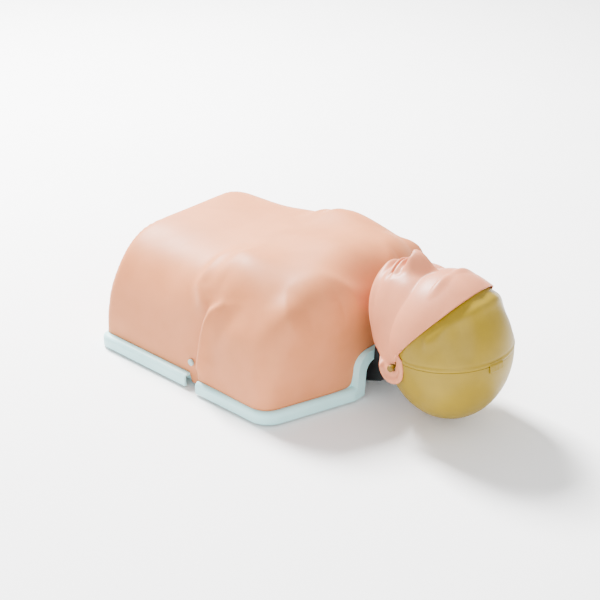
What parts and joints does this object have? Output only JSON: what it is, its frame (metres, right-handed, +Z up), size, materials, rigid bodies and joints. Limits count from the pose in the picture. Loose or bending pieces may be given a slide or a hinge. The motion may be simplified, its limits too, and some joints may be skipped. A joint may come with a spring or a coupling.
{
  "type": "cpr training manikin",
  "caption": "Lying CPR training torso with a sprung chest under a soft skin, a moulded base and a tilting head with a face mask.",
  "frame": {"origin": "on the floor under the manikin, midway between the waist edge and the crown, on the middle plane", "axes": "+X from the waist to the crown, +Y to the manikin's right, +Z up"},
  "size_m": [0.5689, 0.376, 0.2207],
  "materials": {
    "skin_vinyl": "soft satin vinyl",
    "mask_vinyl": "soft satin vinyl",
    "base_plastic": "fine satin",
    "skull_plastic": "satin",
    "stud_plastic": "satin",
    "button_plastic": "satin",
    "dark_plastic": "satin",
    "white_plastic": "satin",
    "foot_rubber": "matte",
    "spring_steel": "drawn wire",
    "bag_film": "soft film",
    "bush_plastic": "satin"
  },
  "bodies": {
    "base": {"base_tray": "base_plastic", "chest_skin": "skin_vinyl", "compression_spring": "spring_steel", "foot_shoulder_left": "foot_rubber", "foot_shoulder_right": "foot_rubber", "foot_waist_left": "foot_rubber", "foot_waist_right": "foot_rubber", "guide_screws": "spring_steel", "neck_axle": "spring_steel", "neck_bracket": "dark_plastic", "neck_screws": "spring_steel", "skin_button_left": "button_plastic", "skin_button_right": "button_plastic", "spring_guide": "white_plastic"},
    "chest_plate": {"rib_plate": "white_plastic", "plunger": "dark_plastic", "plunger_screw": "spring_steel", "lung_bag": "bag_film"},
    "head": {"skull_rear": "skull_plastic", "skull_front": "skull_plastic", "ear_stud_left": "stud_plastic", "ear_stud_right": "stud_plastic", "face_skin": "mask_vinyl", "axle_bushing_left": "bush_plastic", "axle_bushing_right": "bush_plastic", "jaw_pin_left": "spring_steel", "jaw_pin_right": "spring_steel", "mouthpiece": "white_plastic"},
    "jaw": {"jaw": "white_plastic"}
  },
  "joints": [
    {"name": "chest_press", "type": "slide", "parent": "base", "child": "chest_plate", "axis": [0, 0, -1], "range_m": [0, 0.055], "stiffness_N_per_m": 8000, "deforming": ["compression_spring"]},
    {"name": "head_tilt", "type": "hinge", "parent": "base", "child": "head", "pos_m": [0.19454, 0, 0.0932], "axis": [0, 1, 0], "range_deg": [0, 30]},
    {"name": "jaw_swing", "type": "hinge", "parent": "head", "child": "jaw", "pos_m": [0.16704, 0, 0.09787], "axis": [0, -1, 0], "range_deg": [0, 3], "stiffness_Nm_per_rad": 0.5, "springref_deg": -17.19}
  ]
}
